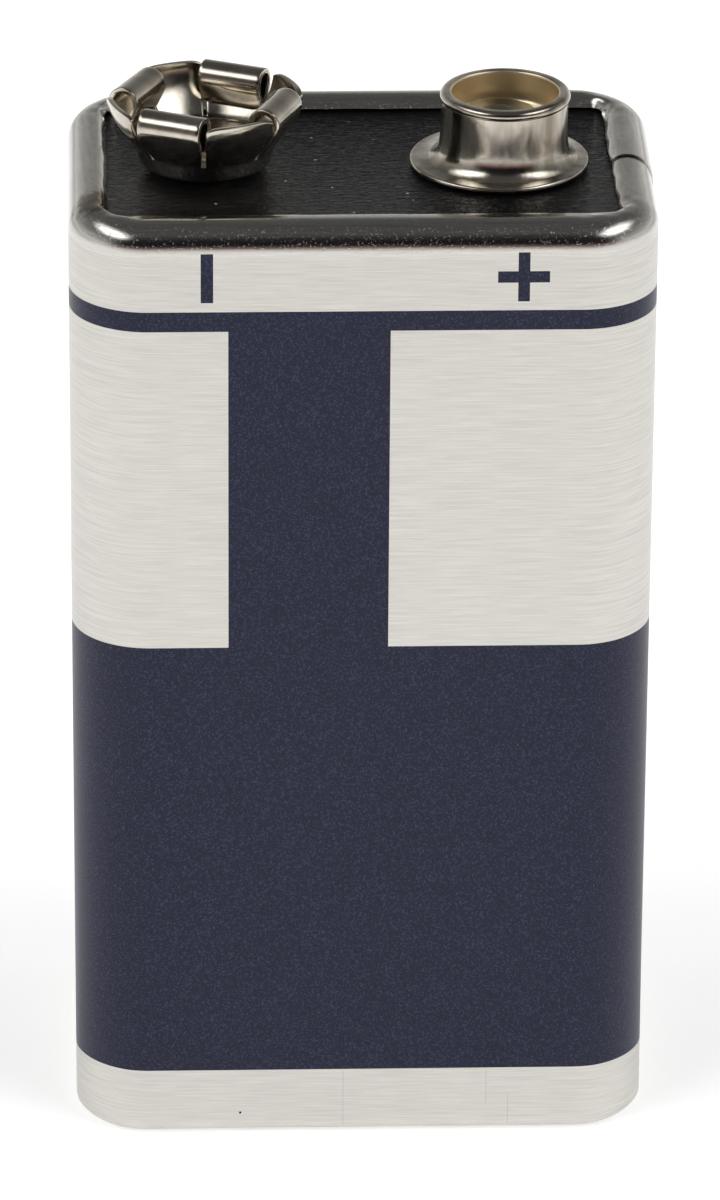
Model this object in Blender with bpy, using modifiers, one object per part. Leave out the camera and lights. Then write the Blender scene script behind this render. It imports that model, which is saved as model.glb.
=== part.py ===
"""Nine volt battery with snap terminals, as an assembly of its real pieces.

The battery stands on its bottom rim: +Z is up, X runs along the long side and the printed front
faces -Y. The origin is the middle of the footprint, on the ground. The positive stud is at +X and
the negative socket at -X. All sizes are in millimetres and are turned to metres by MM.
"""
import math

import bpy
import bmesh
from mathutils import Vector

MM = 0.001

# Jacket: one printed tinplate sheet, wrapped round the body and lapped on the +X side
BODY_LENGTH = 25.8
BODY_WIDTH = 16.9
RIM_HEIGHT = 44.4
CORNER_RADIUS = 3.5
SHEET = 0.15
LAP_CLEARANCE = 0.02
LAP_LENGTH = 2.1
LAP_EDGE_Y = -0.2
RIM_BEND = 1.2
RIM_REACH = 0.95
RIM_CORNER_RADIUS = 0.7
BOARD_DEPTH = 0.52
FOOT_BEND = 0.8
FOOT_LAND = 1.1

# Clearances: faces that seat on each other, and pins in holes
SEAT = 0.1
HOLE_CLEARANCE = 0.15

# Boards and cards across the body
BOARD_THICKNESS = 1.2
CARD_THICKNESS = 0.4
PLATE_THICKNESS = 0.9
PLATE_EDGE = 0.25

# Snap terminals
TERMINAL_SPACING = 12.95
TERMINAL_SHIFT = -0.39
STUD_HEIGHT = 3.45
STUD_RADIUS = 2.87
STUD_NECK_RADIUS = 2.76
STUD_BASE_RADIUS = 2.95
STUD_BORE_RADIUS = 2.35
STUD_BORE_DEPTH = 1.45
STUD_LIP = 0.24
STUD_SHEET = 0.25
FLANGE_RADIUS = 3.96
FLANGE_FILLET = 0.55
FLANGE_FILLET_HEIGHT = 0.77

SOCKET_HEIGHT = 3.6
SOCKET_SHEET = 0.25
SOCKET_FLOOR_RADIUS = 2.3
SOCKET_BEND_HEIGHT = 0.55
SOCKET_BEND_SHARE = 0.85
SLOT_HEIGHT = 1.1
SLOT_RADIUS = 3.1
SLOT_WIDTH = 3.4
PLAIN_PETAL_RADIUS = 4.25
PLAIN_PETAL_HEIGHT = 3.33
PLAIN_PETAL_FLATNESS = 0.25
ROLLED_PETAL_RADIUS = 4.02
ROLLED_PETAL_BULGE = 0.08
ROLLED_PETAL_WIDTH = 42.5
ROLLED_PETAL_ANGLES = (66.0, 154.0, 245.0, 338.0)
ROLL_RADIUS = 0.72
ROLL_START = -25.0
ROLL_END = 205.0
ROLL_TAIL = 0.85

# Rivets that hold the terminals and their tabs to the board
RIVET_RADIUS = 1.1
RIVET_HEAD_RADIUS = 1.7
RIVET_HEAD = 0.35
RIVET_DIMPLE_RADIUS = 0.7
RIVET_DIMPLE = 0.2
CLENCH_RADIUS = 1.75

# Cells: six sealed cans in two rows of three, joined in series
CELL_CLEARANCE = 0.12
SLEEVE_WALL = 0.12
SLEEVE_CLEARANCE = 0.08
SLEEVE_END = 1.2
NUB_RADIUS = 1.5
NUB_HEIGHT = 0.75
SHOULDER = 0.6
CRIMP_RISE = 0.45
CRIMP_WIDTH = 0.8
BUTTON_RADIUS = 1.9
BUTTON_RECESS = 0.4
BEAD_HEIGHT = 2.6
BEAD_DEPTH = 0.3
BEAD_WIDTH = 0.5
WASHER_THICKNESS = 0.25
WASHER_MARGIN = 0.3

# Nickel strip that joins the cells
STRIP_THICKNESS = 0.15
STRAP_WIDTH = 3.6
TAB_WIDTH = 5.0
TAB_OFFSET = 0.6
TAB_MARGIN = 0.6
TAB_TAIL = 2.3
TAB_BEND_MARGIN = 1.8
TAB_FOOT = 1.7

# Facets of round forms
CORNER_STEPS = 7
RIM_STEPS = 5
ROUND_STEPS = 40
CELL_STEPS = 20
RIVET_STEPS = 20
PETAL_STEPS = 4
ROLL_STEPS = 9

LAP_OFFSET = SHEET + LAP_CLEARANCE
BOARD_TOP = RIM_HEIGHT - BOARD_DEPTH
BOARD_BOTTOM = BOARD_TOP - BOARD_THICKNESS
TAB_TOP = BOARD_BOTTOM - SEAT
CLENCH_TOP = TAB_TOP - STRIP_THICKNESS - SEAT
TOP_CARD_TOP = CLENCH_TOP - RIVET_HEAD - SEAT
TOP_CARD_BOTTOM = TOP_CARD_TOP - CARD_THICKNESS
TOP_STRIP_TOP = TOP_CARD_BOTTOM - SEAT
CELL_TOP = TOP_STRIP_TOP - STRIP_THICKNESS - SEAT
PLATE_BOTTOM = SHEET + LAP_OFFSET + SEAT
BOTTOM_CARD_BOTTOM = PLATE_BOTTOM + PLATE_THICKNESS + SEAT
BOTTOM_STRIP_BOTTOM = BOTTOM_CARD_BOTTOM + CARD_THICKNESS + SEAT
CELL_BOTTOM = BOTTOM_STRIP_BOTTOM + STRIP_THICKNESS + SEAT
CELL_LENGTH = CELL_TOP - CELL_BOTTOM
BEND_INSIDE = RIM_BEND - LAP_OFFSET - SHEET
BEND_AT_BOARD = math.sqrt(max(0.0, BEND_INSIDE ** 2 - (RIM_BEND - BOARD_DEPTH) ** 2))
BOARD_INSET = RIM_BEND - BEND_AT_BOARD + SEAT
SLEEVE_RADIUS = (BODY_WIDTH / 2 - SHEET - 1.5 * CELL_CLEARANCE) / 2
CAN_RADIUS = SLEEVE_RADIUS - SLEEVE_WALL - SLEEVE_CLEARANCE
CELL_PITCH_Y = 2 * SLEEVE_RADIUS + CELL_CLEARANCE
CELL_PITCH_X = BODY_LENGTH / 2 - LAP_OFFSET - SHEET - CELL_CLEARANCE - SLEEVE_RADIUS
STUD_X = TERMINAL_SHIFT + TERMINAL_SPACING / 2
SOCKET_X = TERMINAL_SHIFT - TERMINAL_SPACING / 2
STUD_FLOOR_TOP = STUD_HEIGHT - STUD_BORE_DEPTH
TAB_FOLD_Y = CELL_PITCH_Y / 2 + TAB_BEND_MARGIN
RIVET_HOLE_RADIUS = RIVET_RADIUS + HOLE_CLEARANCE


def clear_scene():
    """Remove whatever the open file holds."""
    for item in list(bpy.data.objects):
        bpy.data.objects.remove(item, do_unlink=True)


def make_collection(name):
    """Add a collection to the scene."""
    collection = bpy.data.collections.new(name)
    bpy.context.scene.collection.children.link(collection)
    return collection


def make_material(name, colour, roughness, metallic):
    """Make a Principled material from a colour, a roughness and a metallic value."""
    material = bpy.data.materials.new(name)
    material.use_nodes = True
    shader = material.node_tree.nodes["Principled BSDF"]
    shader.inputs["Base Color"].default_value = (*colour, 1.0)
    shader.inputs["Roughness"].default_value = roughness
    shader.inputs["Metallic"].default_value = metallic
    material.diffuse_color = (*colour, 1.0)
    return material


def scaled(points):
    """Turn points in millimetres into vectors in metres."""
    return [Vector(point) * MM for point in points]


def add_object(name, data, material, place=(0.0, 0.0, 0.0)):
    """Put a mesh or curve in the battery's collection, with its material and its place."""
    item = bpy.data.objects.new(name, data)
    data.materials.append(material)
    item.location = Vector(place) * MM
    parts.objects.link(item)
    item.parent = datum
    return item


def grid_mesh(name, rows):
    """Make an open surface from rows of points, all rows of one length."""
    mesh = bmesh.new()
    grid = [[mesh.verts.new(point) for point in scaled(row)] for row in rows]
    for upper, lower in zip(grid, grid[1:]):
        for index in range(len(upper) - 1):
            mesh.faces.new((upper[index], lower[index], lower[index + 1], upper[index + 1]))
    return finish_mesh(mesh, name)


def finish_mesh(mesh, name):
    """Write a bmesh to a new smooth-shaded mesh, with its sharp edges kept."""
    data = bpy.data.meshes.new(name)
    mesh.to_mesh(data)
    mesh.free()
    data.shade_smooth()
    data.set_sharp_from_angle(angle=math.radians(35))
    return data


def add_solidify(item, thickness):
    """Give an open surface its thickness, behind the side that its faces look to."""
    solidify = item.modifiers.new("sheet", "SOLIDIFY")
    solidify.thickness = thickness * MM
    solidify.offset = -1.0
    solidify.use_even_offset = True
    solidify.use_quality_normals = True
    return solidify


def add_turned(name, profile, material, place, steps, closed=False):
    """Turn a profile of (radius, height) points about the vertical.

    The profile runs down its outer side, and a closed one returns up its inner side.
    """
    mesh = bmesh.new()
    verts = [mesh.verts.new((radius * MM, 0.0, height * MM)) for radius, height in profile]
    pairs = list(zip(verts, verts[1:]))
    if closed:
        pairs.append((verts[-1], verts[0]))
    for start, end in pairs:
        mesh.edges.new((start, end))
    data = bpy.data.meshes.new(name)
    mesh.to_mesh(data)
    mesh.free()
    item = add_object(name, data, material, place)
    screw = item.modifiers.new("turn", "SCREW")
    screw.axis = "Z"
    screw.steps = steps
    screw.render_steps = steps
    screw.use_merge_vertices = True
    screw.merge_threshold = 1e-6
    screw.use_smooth_shade = True
    return item


def arc(centre_x, centre_y, radius_x, radius_y, start, end, steps):
    """List the points of an elliptical arc, its angles in degrees."""
    angles = [math.radians(start + (end - start) * index / steps) for index in range(steps + 1)]
    return [(centre_x + radius_x * math.cos(a), centre_y + radius_y * math.sin(a)) for a in angles]


def rounded_rectangle(length, width, radius, steps=CORNER_STEPS):
    """List the outline of a rounded rectangle, counter-clockwise from the +X side."""
    half_x = length / 2 - radius
    half_y = width / 2 - radius
    corners = ((half_x, half_y, 0), (-half_x, half_y, 90), (-half_x, -half_y, 180), (half_x, -half_y, 270))
    points = []
    for x, y, angle in corners:
        points += arc(x, y, radius, radius, angle, angle + 90, steps)
    return points


def add_outline(curve, points):
    """Add one closed straight-sided spline to a flat curve."""
    spline = curve.splines.new("POLY")
    spline.points.add(len(points) - 1)
    for target, (x, y) in zip(spline.points, points):
        target.co = (x * MM, y * MM, 0.0, 1.0)
    spline.use_cyclic_u = True


def add_plate(name, outline, holes, bottom, thickness, material, edge=0.0):
    """Make a flat plate from its outline and its holes; edge rounds its rim."""
    curve = bpy.data.curves.new(name, "CURVE")
    curve.dimensions = "2D"
    curve.fill_mode = "BOTH"
    curve.extrude = (thickness / 2 - edge) * MM
    curve.bevel_depth = edge * MM
    curve.offset = -edge * MM
    curve.bevel_resolution = 1
    add_outline(curve, outline)
    for hole in holes:
        add_outline(curve, hole)
    return add_object(name, curve, material, (0.0, 0.0, bottom + thickness / 2))


def circle(x, y, radius, steps=RIVET_STEPS):
    """List the points of a circle."""
    return arc(x, y, radius, radius, 0, 360, steps)[:-1]


def jacket_stations():
    """List where the sheet passes, as it is wrapped round the body.

    Each station is a point of the outer outline, its outward direction, the matching point of the
    top opening, and how deep the sheet lies there under the outline. The sheet starts under the lap
    on the +X side, comes round the front, the -X side and the back, and ends on top of the lap.
    """
    half_x = BODY_LENGTH / 2
    half_y = BODY_WIDTH / 2
    reach = RIM_BEND + RIM_REACH * math.cos(lip_angle(0.0))
    open_x = half_x - reach
    open_y = half_y - reach
    stations = []

    def side(y, depth):
        stations.append(((half_x, y), (1.0, 0.0), (open_x, y), depth))

    def corner(sign_x, sign_y, start, depth_from, depth_to):
        for index in range(CORNER_STEPS + 1):
            share = index / CORNER_STEPS
            angle = math.radians(start - 90.0 * share)
            out = (math.cos(angle), math.sin(angle))
            outer = (sign_x * (half_x - CORNER_RADIUS) + CORNER_RADIUS * out[0],
                     sign_y * (half_y - CORNER_RADIUS) + CORNER_RADIUS * out[1])
            inner = (sign_x * (open_x - RIM_CORNER_RADIUS) + RIM_CORNER_RADIUS * out[0],
                     sign_y * (open_y - RIM_CORNER_RADIUS) + RIM_CORNER_RADIUS * out[1])
            blend = (1.0 - math.cos(math.pi * share)) / 2
            stations.append((outer, out, inner, depth_from + (depth_to - depth_from) * blend))

    for y in (LAP_EDGE_Y + LAP_LENGTH, LAP_EDGE_Y):
        side(y, LAP_OFFSET)
    corner(1, -1, 0.0, LAP_OFFSET, 0.0)
    corner(-1, -1, 270.0, 0.0, 0.0)
    corner(-1, 1, 180.0, 0.0, 0.0)
    corner(1, 1, 90.0, 0.0, 0.0)
    side(LAP_EDGE_Y, 0.0)
    return stations


def lip_angle(depth):
    """Angle at which the top rim's bend ends, so that its cut edge stays clear of the board."""
    rise = RIM_BEND - BOARD_DEPTH + SHEET + SEAT / 2
    return math.asin(min(1.0, rise / (RIM_BEND - depth)))


def jacket_section(outer, out, inner, depth):
    """List one section of the sheet: down from the top lip, over the bend, the wall and the foot."""
    last = lip_angle(depth)
    crest = tuple(point - RIM_BEND * way for point, way in zip(outer, out))
    full = (RIM_REACH * math.cos(lip_angle(0.0)), RIM_REACH - depth)
    centre = RIM_HEIGHT - RIM_BEND
    points = []
    for index in range(RIM_STEPS):
        angle = last + (math.pi / 2 - last) * index / RIM_STEPS
        share = full[1] * math.cos(angle) / full[0]
        x, y = (a + (b - a) * share for a, b in zip(crest, inner))
        points.append((x, y, centre + (RIM_BEND - depth) * math.sin(angle)))
    for index in range(RIM_STEPS + 1):
        angle = math.pi / 2 * (1 + index / RIM_STEPS)
        inset = RIM_BEND + (RIM_BEND - depth) * math.cos(angle)
        points.append((outer[0] - inset * out[0], outer[1] - inset * out[1],
                       centre + (RIM_BEND - depth) * math.sin(angle)))
    for index in range(RIM_STEPS + 1):
        angle = math.pi / 2 * index / RIM_STEPS
        inset = FOOT_BEND - (FOOT_BEND - depth) * math.cos(angle)
        points.append((outer[0] - inset * out[0], outer[1] - inset * out[1],
                       FOOT_BEND - (FOOT_BEND - depth) * math.sin(angle)))
    inset = FOOT_BEND + FOOT_LAND
    points.append((outer[0] - inset * out[0], outer[1] - inset * out[1], depth))
    return points


def make_jacket():
    """Wrapped tinplate jacket, rolled over the board at the top and under the plate at the foot."""
    rows = [jacket_section(*station) for station in jacket_stations()]
    jacket = add_object("jacket", grid_mesh("jacket", rows), tinplate)
    add_solidify(jacket, SHEET)


def board_outline():
    """Outline of a board or card that lies inside the jacket."""
    return rounded_rectangle(BODY_LENGTH - 2 * BOARD_INSET, BODY_WIDTH - 2 * BOARD_INSET,
                             CORNER_RADIUS - BOARD_INSET)


def make_boards():
    """Black terminal board, the bottom plate and the two insulating cards."""
    rivet_holes = [circle(x, 0.0, RIVET_HOLE_RADIUS) for x in (SOCKET_X, STUD_X)]
    add_plate("terminal_board", board_outline(), rivet_holes, BOARD_BOTTOM, BOARD_THICKNESS, black_board)
    add_plate("bottom_plate", board_outline(), [], PLATE_BOTTOM, PLATE_THICKNESS, black_board, PLATE_EDGE)
    add_plate("bottom_insulator", board_outline(), [], BOTTOM_CARD_BOTTOM, CARD_THICKNESS, card)
    add_plate("top_insulator", card_outline(), [], TOP_CARD_BOTTOM, CARD_THICKNESS, card)


def card_outline():
    """Outline of the top card: a notch in two opposite corners lets the tabs fold round its edge."""
    half_x = BODY_LENGTH / 2 - BOARD_INSET
    half_y = BODY_WIDTH / 2 - BOARD_INSET
    notch_x = min(STUD_X, -SOCKET_X) + TAB_OFFSET - TAB_WIDTH / 2 - TAB_MARGIN
    notch_y = TAB_FOLD_Y - TAB_MARGIN
    half = [(half_x, -notch_y), (half_x, half_y - CORNER_RADIUS)]
    half += arc(half_x - CORNER_RADIUS, half_y - CORNER_RADIUS, CORNER_RADIUS, CORNER_RADIUS, 0, 90,
                CORNER_STEPS)[1:]
    half += [(-notch_x, half_y), (-notch_x, notch_y)]
    return half + [(-x, -y) for x, y in half]


def stud_profile():
    """Section of the drawn stud, down its outside, under its flange and up through its bore.

    One sheet runs from the flange up the outside, over the lip and down the bore to its floor.
    """
    top = STUD_HEIGHT
    lip = STUD_LIP
    foot = SEAT + STUD_SHEET
    edge = STUD_SHEET / 2
    points = arc(STUD_BORE_RADIUS + lip / 2, top - lip / 2, lip / 2, lip / 2, 180, 90, 2)
    points += arc(STUD_RADIUS - lip, top - lip, lip, lip, 90, -30, 4)
    points += [(STUD_NECK_RADIUS, top - 3 * lip), (STUD_BASE_RADIUS, foot + 2 * FLANGE_FILLET)]
    points += arc(STUD_BASE_RADIUS + FLANGE_FILLET, foot + FLANGE_FILLET_HEIGHT, FLANGE_FILLET,
                  FLANGE_FILLET_HEIGHT, 180, 270, 4)
    points += arc(FLANGE_RADIUS - edge, SEAT + edge, edge, edge, 90, -90, 3)
    inside = STUD_BASE_RADIUS - STUD_SHEET
    points += arc(inside + FLANGE_FILLET, SEAT + FLANGE_FILLET, FLANGE_FILLET, FLANGE_FILLET, 270, 180, 3)
    under = STUD_FLOOR_TOP - STUD_SHEET
    points += [(STUD_BORE_RADIUS + edge, under), (RIVET_HOLE_RADIUS, under)]
    points += [(RIVET_HOLE_RADIUS, STUD_FLOOR_TOP), (STUD_BORE_RADIUS - lip, STUD_FLOOR_TOP)]
    points.append((STUD_BORE_RADIUS, STUD_FLOOR_TOP + lip))
    return points


def make_stud():
    """Positive snap stud, drawn from nickel-plated sheet."""
    add_turned("positive_stud", stud_profile(), nickel, (STUD_X, 0.0, BOARD_TOP), ROUND_STEPS, closed=True)


def petal_rows(rolled):
    """List a petal's outer line above the slot root, as (radius, height, flatness) rows.

    A plain petal flares to its cut edge. A rolled one flares less, bends over inwards and comes
    down again in a straight tail that points back at its own wall, like a drop.
    """
    if not rolled:
        rise = PLAIN_PETAL_HEIGHT - SLOT_HEIGHT
        spread = PLAIN_PETAL_RADIUS - SLOT_RADIUS
        return [(SLOT_RADIUS + spread * math.sin(share * math.pi / 2), SLOT_HEIGHT + rise * share,
                 PLAIN_PETAL_FLATNESS * share) for share in (0.3, 0.65, 1.0)]
    roll = arc(ROLLED_PETAL_RADIUS - ROLL_RADIUS, SOCKET_HEIGHT - ROLL_RADIUS, ROLL_RADIUS, ROLL_RADIUS,
               ROLL_START, ROLL_END, ROLL_STEPS)
    rise = roll[0][1] - SLOT_HEIGHT
    spread = roll[0][0] - SLOT_RADIUS
    rows = [(SLOT_RADIUS + spread * share + ROLLED_PETAL_BULGE * math.sin(share * math.pi),
             SLOT_HEIGHT + rise * share, share) for share in (0.35, 0.7)]
    rows += [(radius, height, 1.0) for radius, height in roll]
    radius, height = roll[-1]
    end = math.radians(ROLL_END)
    rows.append((radius - ROLL_TAIL * math.sin(end), height + ROLL_TAIL * math.cos(end), 1.0))
    return rows


def petal_point(radius, height, flatness, angle, offset):
    """Place a point of a petal: bent round the socket at its root and flat across where it rolls."""
    reach = ROLLED_PETAL_RADIUS if flatness == 1.0 else radius
    bulge = reach * (math.cos(offset) - 1.0) * (1.0 - flatness)
    across = reach * math.sin(offset)
    along = radius + bulge
    return (along * math.cos(angle) - across * math.sin(angle),
            along * math.sin(angle) + across * math.cos(angle), height)


def bowl_profile():
    """List the bowl's outer side from its floor's hole out to the root of the slots."""
    bend = (SLOT_RADIUS - SOCKET_FLOOR_RADIUS) * SOCKET_BEND_SHARE
    points = [(RIVET_HOLE_RADIUS, SEAT)]
    points += arc(SOCKET_FLOOR_RADIUS, SEAT + SOCKET_BEND_HEIGHT, bend, SOCKET_BEND_HEIGHT, 270, 345, 4)
    points.append((SLOT_RADIUS, SLOT_HEIGHT))
    return points


def socket_petals():
    """List the petals round the socket, as (middle angle, width, rolled); plain ones fill the gaps."""
    petals = []
    for angle, after in zip(ROLLED_PETAL_ANGLES, ROLLED_PETAL_ANGLES[1:] + (ROLLED_PETAL_ANGLES[0] + 360.0,)):
        petals.append((angle, ROLLED_PETAL_WIDTH, True))
        petals.append(((angle + after) / 2, after - angle - ROLLED_PETAL_WIDTH - 2 * SLOT_WIDTH, False))
    return petals


def make_socket():
    """Negative snap socket: a pressed bowl cut into petals, every second one rolled inwards."""
    petals = socket_petals()
    across = PETAL_STEPS
    mesh = bmesh.new()
    columns = []
    for angle, width, _ in petals:
        for index in range(across + 1):
            columns.append(math.radians(angle + width * (index / across - 0.5)))
    rings = []
    for radius, height in bowl_profile():
        ring = [(radius * math.cos(a), radius * math.sin(a), height) for a in columns]
        rings.append([mesh.verts.new(point) for point in scaled(ring)])
    for lower, upper in zip(rings, rings[1:]):
        for index in range(len(columns)):
            after = (index + 1) % len(columns)
            mesh.faces.new((lower[index], lower[after], upper[after], upper[index]))
    for number, (angle, width, rolled) in enumerate(petals):
        first = number * (across + 1)
        below = rings[-1][first:first + across + 1]
        offsets = [math.radians(width * (index / across - 0.5)) for index in range(across + 1)]
        for radius, height, flatness in petal_rows(rolled):
            row = [petal_point(radius, height, flatness, math.radians(angle), offset) for offset in offsets]
            above = [mesh.verts.new(point) for point in scaled(row)]
            for index in range(across):
                mesh.faces.new((below[index], below[index + 1], above[index + 1], above[index]))
            below = above
    socket = add_object("negative_socket", finish_mesh(mesh, "negative_socket"), nickel,
                        (SOCKET_X, 0.0, BOARD_TOP))
    add_solidify(socket, SOCKET_SHEET)


def rivet_profile(floor_top):
    """Section of a rivet: a domed head on the terminal's floor and a clenched end under the tab."""
    head = floor_top + SEAT
    top = head + RIVET_HEAD
    clench = CLENCH_TOP - BOARD_TOP
    return [(0.0, top - RIVET_DIMPLE), (RIVET_DIMPLE_RADIUS, top - RIVET_DIMPLE),
            (RIVET_DIMPLE_RADIUS + RIVET_DIMPLE, top), (RIVET_HEAD_RADIUS - RIVET_HEAD / 2, top),
            (RIVET_HEAD_RADIUS, top - RIVET_HEAD / 2), (RIVET_HEAD_RADIUS, head), (RIVET_RADIUS, head),
            (RIVET_RADIUS, clench), (CLENCH_RADIUS, clench), (CLENCH_RADIUS, clench - RIVET_HEAD / 2),
            (RIVET_RADIUS, clench - RIVET_HEAD), (0.0, clench - RIVET_HEAD)]


def make_rivets():
    """Rivets through the terminals, the board and the tabs."""
    add_turned("positive_rivet", rivet_profile(STUD_FLOOR_TOP), brass, (STUD_X, 0.0, BOARD_TOP), RIVET_STEPS)
    socket_floor = SEAT + SOCKET_SHEET
    add_turned("negative_rivet", rivet_profile(socket_floor), brass, (SOCKET_X, 0.0, BOARD_TOP), RIVET_STEPS)


def cell_profile():
    """Section of a sealed cell with its positive nub up, on the axis at both ends."""
    top = CELL_LENGTH
    shoulder = top - NUB_HEIGHT
    radius = CAN_RADIUS
    bead = BEAD_HEIGHT
    rim = radius - CRIMP_WIDTH
    return [(0.0, top), (NUB_RADIUS, top), (NUB_RADIUS, shoulder), (radius - SHOULDER, shoulder),
            (radius, shoulder - SHOULDER), (radius, bead + BEAD_WIDTH), (radius - BEAD_DEPTH, bead),
            (radius, bead - BEAD_WIDTH), (radius, CRIMP_RISE + CRIMP_WIDTH / 2),
            (radius - CRIMP_WIDTH / 2, CRIMP_RISE), (rim, CRIMP_RISE), (rim, CRIMP_RISE + BUTTON_RECESS),
            (BUTTON_RADIUS, CRIMP_RISE + BUTTON_RECESS), (BUTTON_RADIUS, 0.0), (0.0, 0.0)]


def tube_profile(inner, outer, bottom, top):
    """Section of a plain tube or ring."""
    return [(outer, top), (outer, bottom), (inner, bottom), (inner, top)]


def make_cells():
    """Six cells in series, each with its sleeve and the washer round its negative end.

    They are numbered along the chain, from the positive stud to the negative socket: every second
    one stands on its positive nub.
    """
    sleeve_inner = CAN_RADIUS + SLEEVE_CLEARANCE
    sleeve = tube_profile(sleeve_inner, sleeve_inner + SLEEVE_WALL, CRIMP_RISE + SLEEVE_END,
                          CELL_LENGTH - NUB_HEIGHT - SLEEVE_END)
    washer = tube_profile(BUTTON_RADIUS + WASHER_MARGIN, CAN_RADIUS - WASHER_MARGIN,
                          CRIMP_RISE - SEAT - WASHER_THICKNESS, CRIMP_RISE - SEAT)
    for number, (x, y) in enumerate(cell_places(), start=1):
        upright = number % 2 == 1
        place = (x, y, CELL_BOTTOM if upright else CELL_TOP)
        turn = 0.0 if upright else math.pi
        cell = add_turned(f"cell_{number}", cell_profile(), can_steel, place, CELL_STEPS)
        tube = add_turned(f"cell_sleeve_{number}", sleeve, film, place, CELL_STEPS, closed=True)
        ring = add_turned(f"cell_washer_{number}", washer, card, place, CELL_STEPS, closed=True)
        for piece in (cell, tube, ring):
            piece.rotation_euler = (turn, 0.0, 0.0)


def cell_places():
    """List the cells' axes along the chain, which snakes from +X to -X."""
    half = CELL_PITCH_Y / 2
    return [(CELL_PITCH_X, -half), (CELL_PITCH_X, half), (0.0, half), (0.0, -half),
            (-CELL_PITCH_X, -half), (-CELL_PITCH_X, half)]


def strap_outline(start, end):
    """Outline of a strap between two cells, with round ends."""
    (x0, y0), (x1, y1) = start, end
    angle = math.degrees(math.atan2(y1 - y0, x1 - x0))
    radius = STRAP_WIDTH / 2
    return arc(x1, y1, radius, radius, angle - 90, angle + 90, 8) + arc(x0, y0, radius, radius, angle + 90,
                                                                      angle + 270, 8)


def make_straps():
    """Welded straps: three at the foot and two at the top."""
    places = cell_places()
    for number, (first, second) in enumerate(((0, 1), (2, 3), (4, 5)), start=1):
        add_plate(f"bottom_strap_{number}", strap_outline(places[first], places[second]), [],
                  BOTTOM_STRIP_BOTTOM, STRIP_THICKNESS, nickel)
    for number, (first, second) in enumerate(((1, 2), (3, 4)), start=1):
        add_plate(f"top_strap_{number}", strap_outline(places[first], places[second]), [],
                  TOP_STRIP_TOP - STRIP_THICKNESS, STRIP_THICKNESS, nickel)


def make_tab(name, rivet_x, side):
    """Folded tab from a rivet, round the top card's edge, to the end of the chain.

    The positive tab has side 1 and folds at the front. The negative tab has side -1 and is its
    twin, turned half round.
    """
    middle = rivet_x + side * TAB_OFFSET
    upper = TAB_TOP
    lower = TOP_STRIP_TOP - STRIP_THICKNESS
    bend = (upper - lower) / 2
    fold = [(-TAB_FOLD_Y - bend * math.sin(angle), lower + bend + bend * math.cos(angle))
            for angle in (math.pi * step / 6 for step in range(7))]
    line = [(TAB_TAIL, upper)] + fold + [(-CELL_PITCH_Y / 2 + TAB_FOOT, lower)]
    half = side * TAB_WIDTH / 2
    rows = [[(middle - half, side * y, z), (middle + half, side * y, z)] for y, z in line]
    tab = add_object(name, grid_mesh(name, rows), nickel)
    add_solidify(tab, STRIP_THICKNESS)
    cutter = add_cutter(name + "_hole", RIVET_HOLE_RADIUS, (rivet_x, 0.0, TAB_TOP))
    cut = tab.modifiers.new("rivet hole", "BOOLEAN")
    cut.operation = "DIFFERENCE"
    cut.solver = "EXACT"
    cut.object = cutter


def add_cutter(name, radius, place):
    """Make a hidden upright cylinder that cuts a hole."""
    mesh = bmesh.new()
    bmesh.ops.create_cone(mesh, cap_ends=True, segments=RIVET_STEPS, radius1=radius * MM, radius2=radius * MM,
                          depth=4 * STRIP_THICKNESS * MM)
    data = bpy.data.meshes.new(name)
    mesh.to_mesh(data)
    mesh.free()
    cutter = bpy.data.objects.new(name, data)
    cutter.location = Vector(place) * MM
    cutter.hide_render = True
    cutter.display_type = "WIRE"
    cutters.objects.link(cutter)
    return cutter


clear_scene()
parts = make_collection("nine_volt_battery")
cutters = make_collection("cutters")
datum = bpy.data.objects.new("battery_datum", None)
parts.objects.link(datum)

tinplate = make_material("printed_tinplate", (0.30, 0.31, 0.36), 0.35, 0.9)
black_board = make_material("black_board", (0.012, 0.012, 0.012), 0.45, 0.0)
nickel = make_material("nickel_plate", (0.62, 0.60, 0.56), 0.22, 1.0)
brass = make_material("plated_brass", (0.72, 0.66, 0.52), 0.3, 1.0)
can_steel = make_material("cell_can", (0.55, 0.55, 0.54), 0.35, 1.0)
film = make_material("sleeve_film", (0.05, 0.16, 0.10), 0.5, 0.0)
card = make_material("insulating_card", (0.42, 0.36, 0.27), 0.9, 0.0)

make_jacket()
make_boards()
make_stud()
make_socket()
make_rivets()
make_cells()
make_straps()
make_tab("positive_tab", STUD_X, 1)
make_tab("negative_tab", SOCKET_X, -1)
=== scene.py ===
"""Looks of the nine volt battery: finer sheet-metal pieces, finishes, studio light and camera.

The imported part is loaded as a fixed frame. The wrapped jacket, the two snap terminals and their
rivets are rebuilt as finer surfaces of the same sizes, and every piece gets its finish. Sizes are in
millimetres and turn to metres where a mesh is written.
"""

import logging
import math
from dataclasses import dataclass, field
from enum import Enum
from typing import Any

import bpy
import numpy as np
from bpy.types import Material, Node, NodeSocket, NodeTree, Object
from mathutils import Matrix, Vector


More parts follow.
